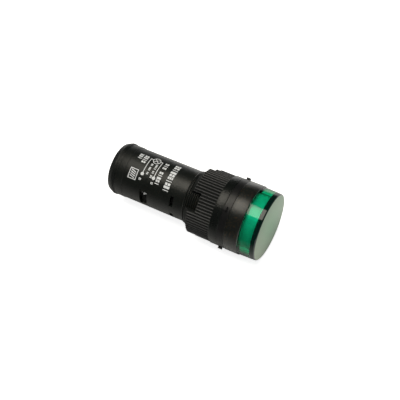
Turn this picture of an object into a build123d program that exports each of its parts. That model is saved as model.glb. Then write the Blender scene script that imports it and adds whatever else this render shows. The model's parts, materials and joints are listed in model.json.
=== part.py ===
from build123d import *
import math
import os

# Panel pilot light for a 16 mm hole, in millimetres.
# Every piece is drawn on the lamp's own axis: Z = 0 is the seating plane, where the gasket meets the
# face of the panel, +Z runs out to the lens and -Z back along the barrel. X points to the latches and
# Y to the upper terminal. level() then lays the axis flat, as in an upright panel: lens towards -Y.

# Threaded barrel
THREAD_D = 15.8
THREAD_LENGTH = 12.6
THREAD_RISE_HEIGHT = 0.3
BARREL_LENGTH = 34.4
BARREL_WALL = 1.1
TAIL_BAND_RISE_HEIGHT = 0.1
TAIL_BAND_LENGTH = 2.3
THREAD_LEAD = 0.3

# Head
HEAD_FLANGE_WIDTH = 2.3
HEAD_LENGTH = 4.25
HEAD_WALL = 1.3
HEAD_CAVITY_DEPTH = 3.15
HEAD_EDGE = 0.2

# Gasket
GASKET_INSET_WIDTH = 0.05
GASKET_THICKNESS = 1.9
GASKET_NIB = 0.6
GASKET_NIB_LENGTH = 1.0
GASKET_NIB_WIDTH = 1.2
GASKET_NIBS = 4
GASKET_NIB_AT = 35.0

# Lens cap
LENS_INSET_WIDTH = 0.2
LENS_DRAFT_WIDTH = 0.15
LENS_BAND = 4.0
LENS_FACE_THICKNESS = 1.2
LENS_SPIGOT_WALL = 0.85
LENS_SPIGOT_LENGTH = 2.1
LENS_BEAD = 0.12
LENS_BEAD_WIDTH = 0.5
LENS_EDGE = 0.3

# Diffuser cup
DIFFUSER_WALL = 0.8

# Ring nut
NUT_COLLAR_INSET_WIDTH = 0.1
NUT_COLLAR_LENGTH = 2.65
NUT_RIB_STEP_HEIGHT = 0.15
NUT_RIBBED_LENGTH = 7.35
NUT_RIBS = 70
NUT_RIB_DEPTH = 0.42
NUT_RIB_CREST_SHARE = 0.34
NUT_RIB_ROOT_SHARE = 0.16
NUT_TAIL_STEP_HEIGHT = 0.65
NUT_LIP_WIDTH = 0.3
NUT_TAIL_LENGTH = 1.3
NUT_NOTCHES = 4
NUT_NOTCH_AT = 45.0
NUT_NOTCH_DEGREES = 34.0
NUT_NOTCH_LENGTH = 2.55
NUT_EDGE = 0.2

# Latches that hold the terminal block in the barrel
LATCH_SPAN_DEGREES = 39.0
LATCH_WINDOW_FROM_END = 8.3
LATCH_WINDOW_LENGTH = 2.4
LATCH_NOSE = 0.75
LATCH_RETURN_LENGTH = 1.0
LATCH_FINGER_WALL = 0.85
LATCH_FINGER_LENGTH = 8.1
LATCH_FREE_LENGTH = 0.4
LATCH_SIDE_DEGREES = 1.0
STUD_WINDOW_FROM_END = 17.95
STUD_WINDOW_LENGTH = 1.1
STUD_SPAN_DEGREES = 25.0
STUD_OFFSET_DEGREES = 23.0
STUD_HEIGHT = 0.3

# Terminal block
END_THICKNESS = 2.6
END_LIP_HEIGHT = 0.17
END_LIP_FROM_BARREL = 0.6
END_BEVEL_WIDTH = 0.65
END_BEVEL_LENGTH = 1.4
END_SHOULDER_ROUND = 0.25
PLUG_LENGTH = 2.9
CORE_WALL = 2.05
CORE_LENGTH = 9.0
ARM_HALF_DEGREES = 37.0
ARM_PAST_STUDS_LENGTH = 0.95
POCKET_SIDE_ROOM = 0.35
POCKET_WALL = 0.75
POCKET_DEPTH = 8.6

# Terminals, clamps and screws
TERMINAL_THICKNESS = 0.8
TERMINAL_LEG_WIDTH = 2.4
TERMINAL_LEG_THICKNESS = 0.6
TERMINAL_LEG_ON_BOARD = 2.0
CLAMP_THICKNESS = 0.8
CLAMP_HOLE_D = 2.9
CLAMP_GROOVE_WIDTH = 0.4
CLAMP_GROOVE_DEPTH = 0.2
CLAMP_GROOVE_OFFSET = 2.0
SCREW_HEAD_GAP = 0.25
SCREW_SHANK_D = 2.5
SCREW_LENGTH = 5.0
SCREW_HEAD_ROOM = 0.2
SCREW_HEAD_HEIGHT = 2.0
SCREW_HEAD_ROUND = 0.65
SCREW_TIP_BEVEL = 0.3
SCREW_SLOT_WIDTH = 0.7
SCREW_SLOT_LENGTH = 3.0
SCREW_SLOT_DEPTH = 1.2
SCREW_TIP_WELL_D = 3.0

# Driver board and its components
BOARD_THICKNESS = 1.0
BOARD_SEAT_DEPTH = 0.45
BOARD_FROM_END = 12.5
BOARD_FRONT_GAP = 1.0
LEAD_D = 0.6
RESISTOR_D = 2.4
RESISTOR_WAIST_D = 2.0
RESISTOR_BULGE_LENGTH = 1.25
RESISTOR_TAPER = 0.4
RESISTOR_ROUND = 0.4
RESISTOR_LENGTH = 6.3
RESISTOR_OFFSET = 2.2
RESISTOR_FROM_EDGE = 5.85
RESISTOR_LEAD_REACH = 1.1
CAPACITOR_D = 5.0
CAPACITOR_PIN_GAP = 0.4
CAPACITOR_ROUND = 0.3
CAPACITOR_CRIMP_AT = 1.2
CAPACITOR_CRIMP_DEPTH = 0.15
CAPACITOR_CRIMP_RADIUS = 0.3
CAPACITOR_FROM_EDGE = 11.4
CAPACITOR_LEAD_PITCH = 2.0
CAPACITOR_LEAD_REACH = 0.5
BRIDGE_LENGTH = 4.7
BRIDGE_WIDTH = 3.9
BRIDGE_HEIGHT = 2.5
BRIDGE_FROM_EDGE = 3.0
BRIDGE_BEVEL = 0.25
BRIDGE_TAB_WIDTH = 0.6
BRIDGE_TAB_PITCH = 2.4
BRIDGE_TAB_REACH = 1.2
BRIDGE_TAB_THICKNESS = 0.25
DIODE_LENGTH = 4.5
DIODE_WIDTH = 3.6
DIODE_HEIGHT = 2.3
DIODE_FROM_FRONT = 10.3
SHUNT_LENGTH = 3.2
SHUNT_WIDTH = 1.6
SHUNT_HEIGHT = 0.6
SHUNT_FROM_FRONT = 5.6
PART_BEVEL = 0.1

# LED board and chips
LED_BOARD_GAP = 0.2
LED_BOARD_THICKNESS = 1.0
CHIPS = 6
CHIP_RIM_GAP = 0.9
CHIP_LENGTH = 3.5
CHIP_WIDTH = 2.8
CHIP_HEIGHT = 1.6
CHIP_WELL_D = 2.2
CHIP_WELL_DEPTH = 0.3
PIN_SIDE = 0.64
PIN_PITCH = 2.54
PIN_ON_BOARD = 3.7
PIN_PROUD = 0.7

# Clearances
RUNNING_GAP = 0.05
SLIP_GAP = 0.1
LATCH_GAP = 0.1
THROUGH = 1.0
TINY = 0.001

# Diameters and widths that follow from the sizes above
BARREL_D = THREAD_D - 2 * THREAD_RISE_HEIGHT
BARREL_BORE_D = BARREL_D - 2 * BARREL_WALL
TAIL_BAND_D = BARREL_D + 2 * TAIL_BAND_RISE_HEIGHT
HEAD_D = THREAD_D + 2 * HEAD_FLANGE_WIDTH
HEAD_CAVITY_D = HEAD_D - 2 * HEAD_WALL
GASKET_D = HEAD_D - 2 * GASKET_INSET_WIDTH
LENS_D = HEAD_D - 2 * LENS_INSET_WIDTH
LENS_FACE_D = LENS_D - 2 * LENS_DRAFT_WIDTH
LENS_BORE_D = HEAD_CAVITY_D - 2 * RUNNING_GAP - 2 * LENS_SPIGOT_WALL
NUT_COLLAR_D = HEAD_D - 2 * NUT_COLLAR_INSET_WIDTH
NUT_RIB_D = NUT_COLLAR_D - 2 * NUT_RIB_STEP_HEIGHT
NUT_TAIL_D = NUT_RIB_D - 2 * NUT_TAIL_STEP_HEIGHT
NUT_TAIL_END_D = THREAD_D + 2 * NUT_LIP_WIDTH
POCKET_D = BARREL_BORE_D - 2 * POCKET_WALL
SCREW_HEAD_D = POCKET_D / 2 - BOARD_THICKNESS / 2 - SCREW_HEAD_GAP - SCREW_HEAD_ROOM
SCREW_OFFSET = POCKET_D / 2 - SCREW_HEAD_GAP - SCREW_HEAD_D / 2
POCKET_WIDTH = SCREW_HEAD_D + 2 * POCKET_SIDE_ROOM
CORE_WIDTH = POCKET_WIDTH + 2 * CORE_WALL
BOARD_WIDTH = BARREL_BORE_D - 2 * RUNNING_GAP - 2 * BOARD_SEAT_DEPTH
LED_BOARD_D = HEAD_CAVITY_D - 2 * LED_BOARD_GAP
CHIP_RING_D = LENS_BORE_D - 2 * (SLIP_GAP + DIFFUSER_WALL + CHIP_RIM_GAP) - CHIP_WIDTH

# Heights and radii that follow from the sizes above
HEAD_FRONT = GASKET_THICKNESS + HEAD_LENGTH
CAVITY_FLOOR = HEAD_FRONT - HEAD_CAVITY_DEPTH
LENS_INNER = HEAD_FRONT + LENS_BAND
LENS_FRONT = LENS_INNER + LENS_FACE_THICKNESS
LED_BOARD_FRONT = CAVITY_FLOOR + LED_BOARD_THICKNESS
BARREL_END = -BARREL_LENGTH
REAR_END = BARREL_END - END_THICKNESS
LATCH_WINDOW_REAR = BARREL_END + LATCH_WINDOW_FROM_END
STUD_WINDOW_REAR = BARREL_END + STUD_WINDOW_FROM_END
PLUG_R = BARREL_BORE_D / 2 - RUNNING_GAP
PLUG_FRONT = BARREL_END + PLUG_LENGTH
CORE_FRONT = BARREL_END + CORE_LENGTH
ARM_END = STUD_WINDOW_REAR + STUD_WINDOW_LENGTH + ARM_PAST_STUDS_LENGTH
ARM_INNER_R = PLUG_R - LATCH_FINGER_WALL
FINGER_TIP = PLUG_FRONT + LATCH_FINGER_LENGTH
POCKET_FLOOR = REAR_END + POCKET_DEPTH
TERMINAL_REAR = POCKET_FLOOR - TERMINAL_THICKNESS
CLAMP_REAR = TERMINAL_REAR - CLAMP_THICKNESS
BOARD_REAR = BARREL_END + BOARD_FROM_END
BOARD_FRONT = CAVITY_FLOOR - BOARD_FRONT_GAP
RESISTOR_MIDDLE = BOARD_REAR + RESISTOR_FROM_EDGE
CAPACITOR_REAR = BOARD_REAR + CAPACITOR_FROM_EDGE
BRIDGE_REAR = BOARD_REAR + BRIDGE_FROM_EDGE
DIODE_REAR = BOARD_FRONT - DIODE_FROM_FRONT
SHUNT_REAR = BOARD_FRONT - SHUNT_FROM_FRONT
PIN_REAR = BOARD_FRONT - PIN_ON_BOARD
CAPACITOR_LENGTH = PIN_REAR - CAPACITOR_PIN_GAP - CAPACITOR_REAR
BARRIER_HALF = BOARD_THICKNESS / 2
COMPONENT_FACE = BOARD_THICKNESS / 2
LATCH_SIDES = (0.0, 180.0)
DRAWN_AT = 90.0


def turned(*points):
    """A solid of revolution from (radius, height) corners."""
    outline = make_face(Polyline(*points, close=True))
    return revolve(Plane.XZ * outline, axis=Axis.Z)


def tube(outer_d, inner_d, low, high):
    """A plain ring between two heights."""
    face = Circle(outer_d / 2) - Circle(inner_d / 2)
    return Pos(0, 0, low) * extrude(face, high - low)


def rod(diameter, low, high):
    """A plain round bar between two heights."""
    return Pos(0, 0, low) * extrude(Circle(diameter / 2), high - low)


def block(width, depth, low, high, x=0.0, y=0.0):
    """A rectangular block, centred on x and y, between two heights."""
    return Pos(x, y, low) * extrude(Rectangle(width, depth), high - low)


def slab(width, bottom, top, low, high, x=0.0):
    """A block that runs from one Y level to another."""
    return block(width, top - bottom, low, high, x, (top + bottom) / 2)


def sector(inner_r, outer_r, half_degrees, low, high, middle_degrees):
    """A stretch of ring wall, as wide as an angle each side of its middle."""
    start = middle_degrees - half_degrees
    outside = CenterArc((0, 0), outer_r, start, 2 * half_degrees)
    inside = CenterArc((0, 0), inner_r, start, 2 * half_degrees)
    sides = [Line(outside @ 0, inside @ 0), Line(outside @ 1, inside @ 1)]
    return Pos(0, 0, low) * extrude(make_face([outside, inside, *sides]), high - low)


def rims(solid, diameter, height):
    """The round edges of one diameter at one height."""
    circles = solid.edges().filter_by(GeomType.CIRCLE)
    return [
        edge
        for edge in circles
        if abs(edge.radius - diameter / 2) < TINY and abs(edge.arc_center.Z - height) < TINY
    ]


def panel_angle(degrees):
    """Turns an angle counted from the top of the panel towards -X into one counted from +X."""
    return 90.0 + degrees


def housing():
    """Head and threaded barrel, one black moulding, open at both ends."""
    bore_r = BARREL_BORE_D / 2
    cavity_r = HEAD_CAVITY_D / 2
    band_front = BARREL_END + TAIL_BAND_LENGTH
    groove_r = cavity_r + LENS_BEAD + RUNNING_GAP
    groove_low = bead_height() - LENS_BEAD_WIDTH / 2 - RUNNING_GAP
    groove_high = bead_height() + LENS_BEAD_WIDTH / 2 + RUNNING_GAP
    shell = turned(
        (bore_r, BARREL_END),
        (TAIL_BAND_D / 2, BARREL_END),
        (TAIL_BAND_D / 2, band_front),
        (BARREL_D / 2, band_front),
        (BARREL_D / 2, -THREAD_LENGTH),
        (THREAD_D / 2, -THREAD_LENGTH + THREAD_LEAD),
        (THREAD_D / 2, GASKET_THICKNESS),
        (HEAD_D / 2, GASKET_THICKNESS),
        (HEAD_D / 2, HEAD_FRONT),
        (cavity_r, HEAD_FRONT),
        (cavity_r, groove_high),
        (groove_r, groove_high),
        (groove_r, groove_low),
        (cavity_r, groove_low),
        (cavity_r, CAVITY_FLOOR),
        (bore_r, CAVITY_FLOOR),
    )
    shell = fillet(rims(shell, HEAD_D, HEAD_FRONT) + rims(shell, HEAD_D, GASKET_THICKNESS), HEAD_EDGE)
    latch_front = LATCH_WINDOW_REAR + LATCH_WINDOW_LENGTH
    stud_front = STUD_WINDOW_REAR + STUD_WINDOW_LENGTH
    cut_r = BARREL_D / 2 + THROUGH
    for side in LATCH_SIDES:
        shell -= sector(bore_r - THROUGH, cut_r, LATCH_SPAN_DEGREES / 2, LATCH_WINDOW_REAR, latch_front, side)
        for offset in (-STUD_OFFSET_DEGREES, STUD_OFFSET_DEGREES):
            middle = side + offset
            low = STUD_WINDOW_REAR
            shell -= sector(bore_r - THROUGH, cut_r, STUD_SPAN_DEGREES / 2, low, stud_front, middle)
    return shell


def bead_height():
    """Middle of the snap bead on the lens spigot."""
    return HEAD_FRONT - LENS_SPIGOT_LENGTH / 2


def lens_cap():
    """Clear green cap: a flat face, a wide band, and a spigot that snaps into the head."""
    spigot_r = HEAD_CAVITY_D / 2 - RUNNING_GAP
    bead_r = spigot_r + LENS_BEAD
    low = HEAD_FRONT - LENS_SPIGOT_LENGTH
    bead_low = bead_height() - LENS_BEAD_WIDTH / 2
    bead_high = bead_height() + LENS_BEAD_WIDTH / 2
    cap = turned(
        (LENS_BORE_D / 2, low),
        (spigot_r, low),
        (spigot_r, bead_low),
        (bead_r, bead_low),
        (bead_r, bead_high),
        (spigot_r, bead_high),
        (spigot_r, HEAD_FRONT),
        (LENS_D / 2, HEAD_FRONT),
        (LENS_FACE_D / 2, LENS_FRONT),
        (0, LENS_FRONT),
        (0, LENS_INNER),
        (LENS_BORE_D / 2, LENS_INNER),
    )
    return fillet(rims(cap, LENS_FACE_D, LENS_FRONT), LENS_EDGE)


def diffuser_cup():
    """White cup behind the lens that spreads the light of the chips."""
    outer_r = LENS_BORE_D / 2 - SLIP_GAP
    inner_r = outer_r - DIFFUSER_WALL
    front = LENS_INNER - RUNNING_GAP
    return turned(
        (inner_r, LED_BOARD_FRONT),
        (outer_r, LED_BOARD_FRONT),
        (outer_r, front),
        (0, front),
        (0, front - DIFFUSER_WALL),
        (inner_r, front - DIFFUSER_WALL),
    )


def sealing_gasket():
    """Flat rubber ring under the head, with small nibs round its rear edge."""
    ring = tube(GASKET_D, THREAD_D + 2 * RUNNING_GAP, 0, GASKET_THICKNESS)
    nib_r = GASKET_D / 2
    half = math.degrees(GASKET_NIB_WIDTH / 2 / nib_r)
    for k in range(GASKET_NIBS):
        middle = panel_angle(GASKET_NIB_AT + 360 / GASKET_NIBS * k)
        ring += sector(nib_r - GASKET_NIB, nib_r + GASKET_NIB, half, 0, GASKET_NIB_LENGTH, middle)
    return ring


def ribbed_outline():
    """Cross-section of the gripping ribs: flat crests with sloped sides and narrow roots."""
    crest_r = NUT_RIB_D / 2
    root_r = crest_r - NUT_RIB_DEPTH
    pitch = 360 / NUT_RIBS
    half_crest = NUT_RIB_CREST_SHARE / 2 * pitch
    half_root = NUT_RIB_ROOT_SHARE / 2 * pitch
    corners = []
    for k in range(NUT_RIBS):
        middle = k * pitch
        corners.append(polar(crest_r, middle - half_crest))
        corners.append(polar(crest_r, middle + half_crest))
        corners.append(polar(root_r, middle + pitch / 2 - half_root))
        corners.append(polar(root_r, middle + pitch / 2 + half_root))
    return make_face(Polyline(*corners, close=True))


def polar(radius, degrees):
    """A point on a circle round the axis."""
    angle = math.radians(degrees)
    return (radius * math.cos(angle), radius * math.sin(angle))


def ring_nut():
    """Plastic nut in one piece: smooth collar, gripping ribs, notches for a key, sloped tail."""
    collar_rear = -NUT_COLLAR_LENGTH
    rib_rear = collar_rear - NUT_RIBBED_LENGTH
    rear = rib_rear - NUT_TAIL_LENGTH
    nut = rod(NUT_COLLAR_D, collar_rear, 0)
    nut = chamfer(rims(nut, NUT_COLLAR_D, 0), NUT_EDGE)
    nut += Pos(0, 0, rib_rear) * extrude(ribbed_outline(), NUT_RIBBED_LENGTH)
    nut += turned((0, rear), (NUT_TAIL_END_D / 2, rear), (NUT_TAIL_D / 2, rib_rear), (0, rib_rear))
    inner_r = THREAD_D / 2 - THROUGH
    for k in range(NUT_NOTCHES):
        middle = panel_angle(NUT_NOTCH_AT + 360 / NUT_NOTCHES * k)
        low = rear - THROUGH
        high = rib_rear + NUT_NOTCH_LENGTH
        nut -= sector(inner_r, NUT_RIB_D / 2 + THROUGH, NUT_NOTCH_DEGREES / 2, low, high, middle)
    return nut - rod(THREAD_D + 2 * RUNNING_GAP, rear - THROUGH, THROUGH)


def pocket_outline(gap):
    """Shape of a terminal pocket, or of what lies in it with a gap all round but at the barrier."""
    width = POCKET_WIDTH - 2 * gap
    top = POCKET_D / 2
    window = Pos(0, (BARRIER_HALF + top) / 2) * Rectangle(width, top - BARRIER_HALF)
    return window & Circle(POCKET_D / 2 - gap)


def latch():
    """One spring finger with a sloped nose that snaps into its window, drawn round the Y axis."""
    half = LATCH_SPAN_DEGREES / 2 - LATCH_SIDE_DEGREES
    nose_rear = LATCH_WINDOW_REAR + LATCH_GAP
    nose_front = LATCH_WINDOW_REAR + LATCH_WINDOW_LENGTH - LATCH_GAP
    finger = sector(ARM_INNER_R, PLUG_R, half, PLUG_FRONT - LATCH_FINGER_WALL, FINGER_TIP, DRAWN_AT)
    wedge = turned(
        (PLUG_R - LATCH_FINGER_WALL / 2, nose_rear),
        (PLUG_R, nose_rear),
        (PLUG_R + LATCH_NOSE, nose_rear + LATCH_RETURN_LENGTH),
        (PLUG_R, nose_front),
        (PLUG_R - LATCH_FINGER_WALL / 2, nose_front),
    )
    reach = PLUG_R + LATCH_NOSE + THROUGH
    return finger + (wedge & sector(ARM_INNER_R, reach, half, nose_rear, nose_front, DRAWN_AT))


def arm():
    """Curved side wall that carries the board, with a spring finger freed by a slot."""
    slot_half = LATCH_SPAN_DEGREES / 2 + LATCH_SIDE_DEGREES
    slot_front = FINGER_TIP + LATCH_FREE_LENGTH
    root = PLUG_FRONT - LATCH_FINGER_WALL
    wall = sector(ARM_INNER_R, PLUG_R, ARM_HALF_DEGREES, root, ARM_END, DRAWN_AT)
    wall -= sector(ARM_INNER_R - THROUGH, PLUG_R + THROUGH, slot_half, PLUG_FRONT, slot_front, DRAWN_AT)
    wall += latch()
    stud_low = STUD_WINDOW_REAR + LATCH_GAP
    stud_high = STUD_WINDOW_REAR + STUD_WINDOW_LENGTH - LATCH_GAP
    stud_half = STUD_SPAN_DEGREES / 2 - LATCH_SIDE_DEGREES
    stud_root_r = PLUG_R - LATCH_FINGER_WALL / 2
    stud_top_r = PLUG_R + STUD_HEIGHT
    for offset in (-STUD_OFFSET_DEGREES, STUD_OFFSET_DEGREES):
        wall += sector(stud_root_r, stud_top_r, stud_half, stud_low, stud_high, DRAWN_AT + offset)
    return wall


def terminal_block():
    """Rear moulding: rounded end, two open terminal pockets, latches, and grooves for the board."""
    end_r = TAIL_BAND_D / 2
    lip_r = end_r + END_LIP_HEIGHT
    flat_r = lip_r - END_BEVEL_WIDTH
    lip_front = BARREL_END - END_LIP_FROM_BARREL
    end = turned(
        (0, REAR_END),
        (flat_r, REAR_END),
        (lip_r, REAR_END + END_BEVEL_LENGTH),
        (lip_r, lip_front),
        (end_r, lip_front),
        (end_r, BARREL_END),
        (0, BARREL_END),
    )
    end = fillet(rims(end, 2 * flat_r, REAR_END), END_SHOULDER_ROUND)
    moulding = end + rod(2 * PLUG_R, BARREL_END, PLUG_FRONT)
    core = Circle(PLUG_R) & Rectangle(CORE_WIDTH, 2 * PLUG_R)
    moulding += Pos(0, 0, PLUG_FRONT) * extrude(core, CORE_FRONT - PLUG_FRONT)
    for side in LATCH_SIDES:
        moulding += Rot(0, 0, side - DRAWN_AT) * arm()
    groove_width = BOARD_WIDTH + 2 * SLIP_GAP
    groove_height = BOARD_THICKNESS + 2 * RUNNING_GAP
    moulding -= block(groove_width, groove_height, BOARD_REAR - SLIP_GAP, ARM_END + THROUGH)
    leg_width = TERMINAL_LEG_WIDTH + 2 * SLIP_GAP
    leg_top = BARRIER_HALF + TERMINAL_LEG_THICKNESS + SLIP_GAP
    hollow = Pos(0, 0, REAR_END - THROUGH) * extrude(pocket_outline(0), POCKET_DEPTH + THROUGH)
    hollow += slab(leg_width, BARRIER_HALF, leg_top, POCKET_FLOOR - THROUGH, CORE_FRONT + THROUGH)
    hollow += Pos(0, SCREW_OFFSET) * rod(SCREW_TIP_WELL_D, POCKET_FLOOR - THROUGH, CORE_FRONT + THROUGH)
    moulding -= hollow
    return moulding - lower(hollow)


def lower(upper_piece):
    """The lower twin of a piece on the upper side of the barrier."""
    return Rot(0, 0, 180) * upper_piece


def terminal():
    """Brass plate with a tapped hole, folded into a leg that is soldered to the board."""
    plate = Pos(0, 0, TERMINAL_REAR) * extrude(pocket_outline(SLIP_GAP), TERMINAL_THICKNESS)
    leg_end = BOARD_REAR + TERMINAL_LEG_ON_BOARD
    leg_top = BARRIER_HALF + TERMINAL_LEG_THICKNESS
    plate += slab(TERMINAL_LEG_WIDTH, BARRIER_HALF, leg_top, TERMINAL_REAR, leg_end)
    hole = rod(SCREW_SHANK_D + 2 * RUNNING_GAP, TERMINAL_REAR - THROUGH, POCKET_FLOOR + THROUGH)
    return plate - Pos(0, SCREW_OFFSET) * hole


def clamp():
    """Square clamp plate that travels with its screw and presses the wire on the terminal."""
    plate = Pos(0, 0, CLAMP_REAR) * extrude(pocket_outline(2 * SLIP_GAP), CLAMP_THICKNESS)
    plate -= slab(POCKET_WIDTH, 0, BARRIER_HALF + SLIP_GAP, CLAMP_REAR - THROUGH, TERMINAL_REAR + THROUGH)
    hole = rod(CLAMP_HOLE_D, CLAMP_REAR - THROUGH, TERMINAL_REAR + THROUGH)
    plate -= Pos(0, SCREW_OFFSET) * hole
    groove_low = TERMINAL_REAR - CLAMP_GROOVE_DEPTH
    for x in (-CLAMP_GROOVE_OFFSET, CLAMP_GROOVE_OFFSET):
        plate -= block(CLAMP_GROOVE_WIDTH, 2 * POCKET_D, groove_low, TERMINAL_REAR + THROUGH, x)
    return plate


def screw():
    """Pan head terminal screw with a cross slot."""
    head_rear = CLAMP_REAR - SCREW_HEAD_HEIGHT
    tip = CLAMP_REAR + SCREW_LENGTH
    head = rod(SCREW_HEAD_D, head_rear, CLAMP_REAR)
    head = fillet(rims(head, SCREW_HEAD_D, head_rear), SCREW_HEAD_ROUND)
    shank = rod(SCREW_SHANK_D, CLAMP_REAR, tip)
    shank = chamfer(rims(shank, SCREW_SHANK_D, tip), SCREW_TIP_BEVEL)
    slot_floor = head_rear + SCREW_SLOT_DEPTH
    solid = head + shank
    solid -= block(SCREW_SLOT_WIDTH, SCREW_SLOT_LENGTH, head_rear - THROUGH, slot_floor)
    solid -= block(SCREW_SLOT_LENGTH, SCREW_SLOT_WIDTH, head_rear - THROUGH, slot_floor)
    return Pos(0, SCREW_OFFSET) * solid


def driver_board():
    """Narrow board along the axis, drilled for the leads of its components."""
    board = block(BOARD_WIDTH, BOARD_THICKNESS, BOARD_REAR, BOARD_FRONT)
    for x, z in (*resistor_holes(), *capacitor_holes()):
        board -= upright(LEAD_D + 2 * RUNNING_GAP, -THROUGH, THROUGH, x, z)
    return board


def upright(diameter, bottom, top, x, z):
    """A round bar that stands across the board."""
    return Pos(x, bottom, z) * Rot(-90, 0, 0) * extrude(Circle(diameter / 2), top - bottom)


def resistor_holes():
    """Where the leads of both resistors go through the board."""
    reach = RESISTOR_LENGTH / 2 + RESISTOR_LEAD_REACH
    sides = (-RESISTOR_OFFSET, RESISTOR_OFFSET)
    ends = (RESISTOR_MIDDLE - reach, RESISTOR_MIDDLE + reach)
    return [(x, z) for x in sides for z in ends]


def capacitor_holes():
    """Where the two leads of the capacitor go through the board."""
    z = CAPACITOR_REAR - CAPACITOR_LEAD_REACH
    return [(-CAPACITOR_LEAD_PITCH / 2, z), (CAPACITOR_LEAD_PITCH / 2, z)]


def bent_lead(x, start, bend, height):
    """A round lead that runs level from a body's end, turns down and goes through the board."""
    run = Line((x, height, start), (x, height, bend))
    drop = Line((x, height, bend), (x, -COMPONENT_FACE - LEAD_D, bend))
    level = Plane(run @ 0, z_dir=run % 0) * Circle(LEAD_D / 2)
    down = Plane(drop @ 0, z_dir=drop % 0) * Circle(LEAD_D / 2)
    elbow = Pos(x, height, bend) * Sphere(LEAD_D / 2)
    return extrude(level, run.length) + extrude(down, drop.length) + elbow


def series_resistors():
    """Two axial resistors side by side, each with its leads bent down into the board."""
    height = COMPONENT_FACE + RESISTOR_D / 2 + SLIP_GAP
    half = RESISTOR_LENGTH / 2
    bend = half + RESISTOR_LEAD_REACH
    bulge_r = RESISTOR_D / 2
    waist_r = RESISTOR_WAIST_D / 2
    bulge_end = half - RESISTOR_BULGE_LENGTH
    waist_end = bulge_end - RESISTOR_TAPER
    pair = []
    for x in (-RESISTOR_OFFSET, RESISTOR_OFFSET):
        body = turned(
            (0, -half),
            (bulge_r, -half),
            (bulge_r, -bulge_end),
            (waist_r, -waist_end),
            (waist_r, waist_end),
            (bulge_r, bulge_end),
            (bulge_r, half),
            (0, half),
        )
        body = fillet(rims(body, RESISTOR_D, half) + rims(body, RESISTOR_D, -half), RESISTOR_ROUND)
        resistor = Pos(x, height, RESISTOR_MIDDLE) * body
        resistor += bent_lead(x, RESISTOR_MIDDLE, RESISTOR_MIDDLE - bend, height)
        resistor += bent_lead(x, RESISTOR_MIDDLE, RESISTOR_MIDDLE + bend, height)
        pair.append(resistor)
    return pair


def smoothing_capacitor():
    """Small electrolytic can that lies on the board."""
    height = COMPONENT_FACE + CAPACITOR_D / 2 + RUNNING_GAP
    can = rod(CAPACITOR_D, 0, CAPACITOR_LENGTH)
    can = fillet(rims(can, CAPACITOR_D, CAPACITOR_LENGTH) + rims(can, CAPACITOR_D, 0), CAPACITOR_ROUND)
    crimp_ring_r = CAPACITOR_D / 2 - CAPACITOR_CRIMP_DEPTH + CAPACITOR_CRIMP_RADIUS
    crimp = Pos(0, 0, CAPACITOR_CRIMP_AT) * Torus(crimp_ring_r, CAPACITOR_CRIMP_RADIUS)
    solid = Pos(0, height, CAPACITOR_REAR) * (can - crimp)
    for x, z in capacitor_holes():
        solid += bent_lead(x, CAPACITOR_REAR + LEAD_D, z, height)
    return solid


def bridge_rectifier():
    """Moulded bridge under the board, on four flat tabs."""
    low = BRIDGE_REAR
    high = BRIDGE_REAR + BRIDGE_LENGTH
    bottom = -COMPONENT_FACE - BRIDGE_HEIGHT
    body = slab(BRIDGE_WIDTH, bottom, -COMPONENT_FACE, low, high)
    lowest = body.edges().filter_by(Axis.Z).sort_by(Axis.Y)[:2]
    body = chamfer(lowest, BRIDGE_BEVEL)
    span = BRIDGE_WIDTH + 2 * BRIDGE_TAB_REACH
    for side in (-1, 1):
        middle = (low + high) / 2 + side * BRIDGE_TAB_PITCH / 2
        tab_low = middle - BRIDGE_TAB_WIDTH / 2
        tab_high = middle + BRIDGE_TAB_WIDTH / 2
        body += slab(span, -COMPONENT_FACE - BRIDGE_TAB_THICKNESS, -COMPONENT_FACE, tab_low, tab_high)
    return body


def chip_part(length, width, height, rear):
    """A flat rectangular part under the board, its lower long edges broken."""
    bottom = -COMPONENT_FACE - height
    body = slab(width, bottom, -COMPONENT_FACE, rear, rear + length)
    return chamfer(body.edges().filter_by(Axis.Z).sort_by(Axis.Y)[:2], PART_BEVEL)


def protection_diode():
    """Surge diode across the supply, under the board."""
    return chip_part(DIODE_LENGTH, DIODE_WIDTH, DIODE_HEIGHT, DIODE_REAR)


def shunt_resistor():
    """Chip resistor across the chain of chips, which drains stray current."""
    return chip_part(SHUNT_LENGTH, SHUNT_WIDTH, SHUNT_HEIGHT, SHUNT_REAR)


def pin_places():
    """Where the two pins cross the LED board."""
    y = COMPONENT_FACE + PIN_SIDE / 2
    return [(-PIN_PITCH / 2, y), (PIN_PITCH / 2, y)]


def led_board():
    """Round board on the floor of the head."""
    board = rod(LED_BOARD_D, CAVITY_FLOOR, LED_BOARD_FRONT)
    side = PIN_SIDE + 2 * RUNNING_GAP
    for x, y in pin_places():
        board -= block(side, side, CAVITY_FLOOR - THROUGH, LED_BOARD_FRONT + THROUGH, x, y)
    return board


def led_chips():
    """Ring of surface-mounted LEDs, each with a round well for its die."""
    high = LED_BOARD_FRONT + CHIP_HEIGHT
    chip = block(CHIP_WIDTH, CHIP_LENGTH, LED_BOARD_FRONT, high, CHIP_RING_D / 2)
    well = rod(CHIP_WELL_D, high - CHIP_WELL_DEPTH, high + THROUGH)
    chip -= Pos(CHIP_RING_D / 2, 0, 0) * well
    return [Rot(0, 0, 360 / CHIPS * (k + 0.5)) * chip for k in range(CHIPS)]


def board_pins():
    """Square pins that carry the current from the driver board to the LED board."""
    high = LED_BOARD_FRONT + PIN_PROUD
    return [block(PIN_SIDE, PIN_SIDE, PIN_REAR, high, x, y) for x, y in pin_places()]


def level(piece):
    """Lays the lamp's axis flat: +Z becomes -Y, and Y becomes +Z."""
    solids = piece if isinstance(piece, list) else [piece]
    return [Rot(90, 0, 0) * solid for solid in solids]


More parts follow.
